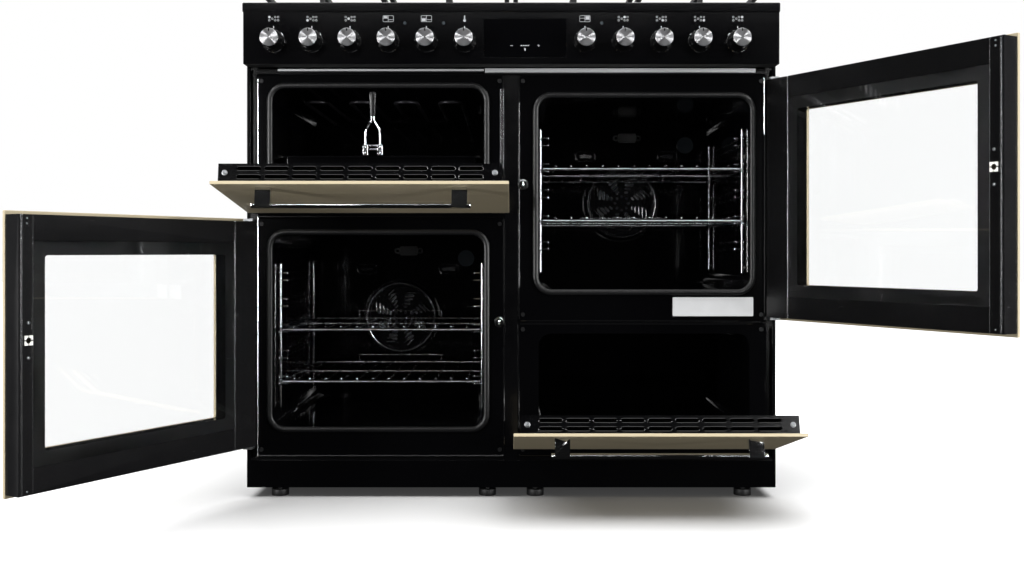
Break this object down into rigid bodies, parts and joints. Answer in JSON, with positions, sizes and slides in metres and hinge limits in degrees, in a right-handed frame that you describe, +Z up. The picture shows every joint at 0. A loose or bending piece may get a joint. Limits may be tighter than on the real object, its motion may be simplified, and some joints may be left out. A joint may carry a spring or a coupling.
{
  "type": "range cooker",
  "caption": "Free-standing range cooker with side-hung oven doors, drop-down grill and storage doors, sliding shelves, a grill pan and turning controls.",
  "frame": {"origin": "On the floor, under the middle of the box that the cooker fills with its doors open as pictured; the shut doors' front plane is 110 mm ahead of it", "axes": "+X to the viewer's right along the front, +Y from the front to the back, +Z up"},
  "size_m": [1.5646, 1.0123, 0.964],
  "materials": {
    "black_enamel": "gloss vitreous enamel",
    "cream_enamel": "semi-gloss baked enamel",
    "black_coat": "satin powder coat",
    "zinc_steel": "galvanised sheet",
    "chrome_wire": "bright chrome plate",
    "chrome_bar": "polished chrome plate",
    "spun_aluminium": "spun face on a black skirt",
    "cast_iron": "matt enamelled casting",
    "burner_alloy": "die-cast",
    "dark_glass": "clear toughened pane with printed dark border",
    "display_black": "gloss",
    "lens": "pressed glass",
    "seal_rubber": "braided and silicone seal",
    "heater_steel": "oxidised tube",
    "brass": "turned",
    "motor_steel": "pressed sheet",
    "foot_plastic": "moulded",
    "trim_steel": "brushed strip",
    "grip_plastic": "moulded grip on a chromed wire clip"
  },
  "bodies": {
    "cooker_body": {"chassis": "black_coat", "plinth": "black_coat", "side_panels": "black_coat", "rear_cover": "zinc_steel", "hob_tray": "black_enamel", "fascia": "black_enamel", "display_glass": "display_black", "control_taps": "brass", "vent_trim": "trim_steel", "grill_liner": "black_enamel", "left_oven_liner": "black_enamel", "right_oven_liner": "black_enamel", "storage_liner": "black_enamel", "door_seals": "seal_rubber", "shelf_ladders": "chrome_wire", "fan_covers": "black_enamel", "fan_motors": "motor_steel", "fan_elements": "heater_steel", "lamp_lenses": "lens", "grill_element": "heater_steel", "burners": "burner_alloy", "burner_caps": "cast_iron", "pan_supports": "cast_iron", "frame_fasteners": "chrome_wire", "hinge_brackets": "motor_steel", "feet": "foot_plastic", "gas_inlet": "brass"},
    "left_oven_door": {"left_door_panel": "cream_enamel", "left_door_frame": "black_coat", "left_door_glass": "dark_glass", "left_door_handle": "chrome_bar"},
    "right_oven_door": {"right_door_panel": "cream_enamel", "right_door_frame": "black_coat", "right_door_glass": "dark_glass", "right_door_handle": "chrome_bar"},
    "grill_door": {"grill_door_panel": "cream_enamel", "grill_door_inner": "black_coat", "grill_door_handle": "chrome_bar"},
    "storage_door": {"storage_door_panel": "cream_enamel", "storage_door_inner": "black_coat", "storage_door_handle": "chrome_bar"},
    "left_lower_shelf": {"left_shelf_lower": "chrome_wire"},
    "left_upper_shelf": {"left_shelf_upper": "chrome_wire"},
    "right_lower_shelf": {"right_shelf_lower": "chrome_wire"},
    "right_upper_shelf": {"right_shelf_upper": "chrome_wire"},
    "pan": {"grill_pan": "black_enamel", "grill_pan_handle": "grip_plastic"},
    "left_fan_wheel": {"left_fan": "motor_steel"},
    "right_fan_wheel": {"right_fan": "motor_steel"},
    "knob_1": {"knob_1": "spun_aluminium"},
    "knob_2": {"knob_2": "spun_aluminium"},
    "knob_3": {"knob_3": "spun_aluminium"},
    "knob_4": {"knob_4": "spun_aluminium"},
    "knob_5": {"knob_5": "spun_aluminium"},
    "knob_6": {"knob_6": "spun_aluminium"},
    "knob_7": {"knob_7": "spun_aluminium"},
    "knob_8": {"knob_8": "spun_aluminium"},
    "knob_9": {"knob_9": "spun_aluminium"},
    "knob_10": {"knob_10": "spun_aluminium"},
    "knob_11": {"knob_11": "spun_aluminium"}
  },
  "joints": [
    {"name": "left_oven_door_hinge", "type": "hinge", "parent": "cooker_body", "child": "left_oven_door", "pos_m": [-0.491, -0.082, 0.3125], "axis": [0, 0, -1], "range_deg": [-121, 0]},
    {"name": "right_oven_door_hinge", "type": "hinge", "parent": "cooker_body", "child": "right_oven_door", "pos_m": [0.491, -0.082, 0.5675], "axis": [0, 0, 1], "range_deg": [-121, 0]},
    {"name": "grill_door_hinge", "type": "hinge", "parent": "cooker_body", "child": "grill_door", "pos_m": [-0.252, -0.096, 0.557], "axis": [1, 0, 0], "range_deg": [-81.5, 0]},
    {"name": "storage_door_hinge", "type": "hinge", "parent": "cooker_body", "child": "storage_door", "pos_m": [0.252, -0.096, 0.114], "axis": [1, 0, 0], "range_deg": [-74.5, 0]},
    {"name": "left_lower_shelf_slide", "type": "slide", "parent": "cooker_body", "child": "left_lower_shelf", "axis": [0, -1, 0], "range_m": [0, 0.2]},
    {"name": "left_upper_shelf_slide", "type": "slide", "parent": "cooker_body", "child": "left_upper_shelf", "axis": [0, -1, 0], "range_m": [0, 0.2]},
    {"name": "right_lower_shelf_slide", "type": "slide", "parent": "cooker_body", "child": "right_lower_shelf", "axis": [0, -1, 0], "range_m": [0, 0.2]},
    {"name": "right_upper_shelf_slide", "type": "slide", "parent": "cooker_body", "child": "right_upper_shelf", "axis": [0, -1, 0], "range_m": [0, 0.2]},
    {"name": "grill_pan_slide", "type": "slide", "parent": "cooker_body", "child": "pan", "axis": [0, -1, 0], "range_m": [0, 0.2]},
    {"name": "left_fan_spin", "type": "hinge", "parent": "cooker_body", "child": "left_fan_wheel", "pos_m": [-0.252, 0.363, 0.3175], "axis": [0, -1, 0], "continuous": true},
    {"name": "right_fan_spin", "type": "hinge", "parent": "cooker_body", "child": "right_fan_wheel", "pos_m": [0.252, 0.363, 0.5775], "axis": [0, -1, 0], "continuous": true},
    {"name": "knob_1_turn", "type": "hinge", "parent": "cooker_body", "child": "knob_1", "pos_m": [-0.4412, -0.13, 0.858], "axis": [0, -1, 0], "range_deg": [0, 210]},
    {"name": "knob_2_turn", "type": "hinge", "parent": "cooker_body", "child": "knob_2", "pos_m": [-0.3703, -0.13, 0.858], "axis": [0, -1, 0], "range_deg": [0, 210]},
    {"name": "knob_3_turn", "type": "hinge", "parent": "cooker_body", "child": "knob_3", "pos_m": [-0.2994, -0.13, 0.858], "axis": [0, -1, 0], "range_deg": [0, 210]},
    {"name": "knob_4_turn", "type": "hinge", "parent": "cooker_body", "child": "knob_4", "pos_m": [-0.2285, -0.13, 0.858], "axis": [0, -1, 0], "range_deg": [-270, 0]},
    {"name": "knob_5_turn", "type": "hinge", "parent": "cooker_body", "child": "knob_5", "pos_m": [-0.1576, -0.13, 0.858], "axis": [0, -1, 0], "range_deg": [-270, 0]},
    {"name": "knob_6_turn", "type": "hinge", "parent": "cooker_body", "child": "knob_6", "pos_m": [-0.0867, -0.13, 0.858], "axis": [0, -1, 0], "range_deg": [-270, 0]},
    {"name": "knob_7_turn", "type": "hinge", "parent": "cooker_body", "child": "knob_7", "pos_m": [0.1367, -0.13, 0.858], "axis": [0, -1, 0], "range_deg": [-270, 0]},
    {"name": "knob_8_turn", "type": "hinge", "parent": "cooker_body", "child": "knob_8", "pos_m": [0.2076, -0.13, 0.858], "axis": [0, -1, 0], "range_deg": [0, 210]},
    {"name": "knob_9_turn", "type": "hinge", "parent": "cooker_body", "child": "knob_9", "pos_m": [0.2785, -0.13, 0.858], "axis": [0, -1, 0], "range_deg": [0, 210]},
    {"name": "knob_10_turn", "type": "hinge", "parent": "cooker_body", "child": "knob_10", "pos_m": [0.3494, -0.13, 0.858], "axis": [0, -1, 0], "range_deg": [0, 210]},
    {"name": "knob_11_turn", "type": "hinge", "parent": "cooker_body", "child": "knob_11", "pos_m": [0.4203, -0.13, 0.858], "axis": [0, -1, 0], "range_deg": [0, 210]}
  ]
}
